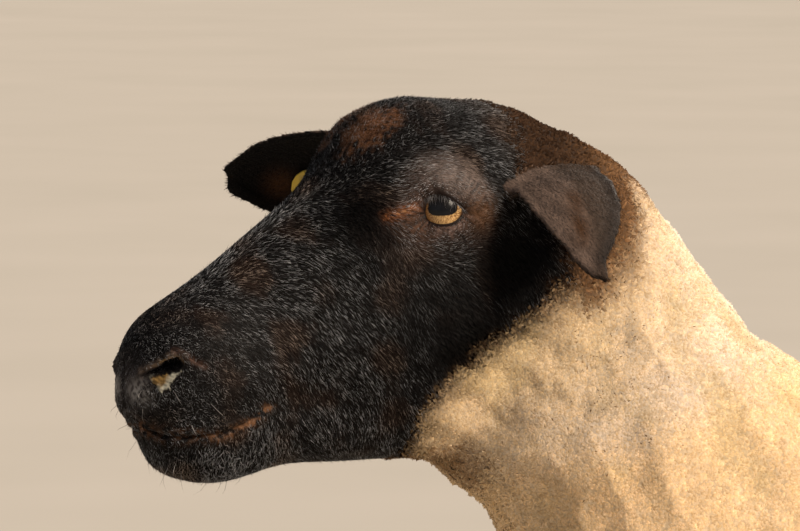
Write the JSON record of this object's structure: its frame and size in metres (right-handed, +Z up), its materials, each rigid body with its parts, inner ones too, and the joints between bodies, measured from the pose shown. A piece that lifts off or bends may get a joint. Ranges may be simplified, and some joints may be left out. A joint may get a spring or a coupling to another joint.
{
  "type": "sheep",
  "caption": "Life-size still model of a shorn black-faced mutton sheep, standing square with its head raised and turned to its left.",
  "frame": {"origin": "on the floor under the middle of the whole animal's box", "axes": "+Z up; the sheep faces -Y and its left side is +X"},
  "size_m": [0.3676, 1.222, 0.9373],
  "materials": {
    "black_hair": "short glossy black hair lying flat",
    "ear_hair": "velvety black-brown hair",
    "fleece": "short curled cream wool",
    "hoof": "dark horn, dull",
    "eye": "wet amber eye with a level black pupil",
    "tag": "yellow plastic, scuffed"
  },
  "bodies": {
    "root": {"eye_left": "eye", "eye_right": "eye", "foreleg_left_claw_outer": "hoof", "foreleg_left_dewclaw_outer": "hoof", "foreleg_left_claw_inner": "hoof", "foreleg_left_dewclaw_inner": "hoof", "foreleg_left_forearm": "fleece", "foreleg_left_cannon": "black_hair", "foreleg_left_pastern": "black_hair", "foreleg_right_claw_inner": "hoof", "foreleg_right_dewclaw_inner": "hoof", "foreleg_right_claw_outer": "hoof", "foreleg_right_dewclaw_outer": "hoof", "foreleg_right_forearm": "fleece", "foreleg_right_cannon": "black_hair", "foreleg_right_pastern": "black_hair", "hindleg_left_claw_outer": "hoof", "hindleg_left_dewclaw_outer": "hoof", "hindleg_left_claw_inner": "hoof", "hindleg_left_dewclaw_inner": "hoof", "hindleg_left_thigh": "fleece", "hindleg_left_cannon": "black_hair", "hindleg_left_pastern": "black_hair", "hindleg_right_claw_inner": "hoof", "hindleg_right_dewclaw_inner": "hoof", "hindleg_right_claw_outer": "hoof", "hindleg_right_dewclaw_outer": "hoof", "hindleg_right_thigh": "fleece", "hindleg_right_cannon": "black_hair", "hindleg_right_pastern": "black_hair", "lower_jaw": "black_hair", "muzzle": "black_hair", "head": "black_hair", "ear_left": "ear_hair", "ear_right": "ear_hair", "ear_tag_front": "tag", "ear_tag_back": "tag", "neck": "fleece", "tail": "fleece", "chest": "fleece", "barrel": "fleece", "rump": "fleece"}
  },
  "joints": []
}
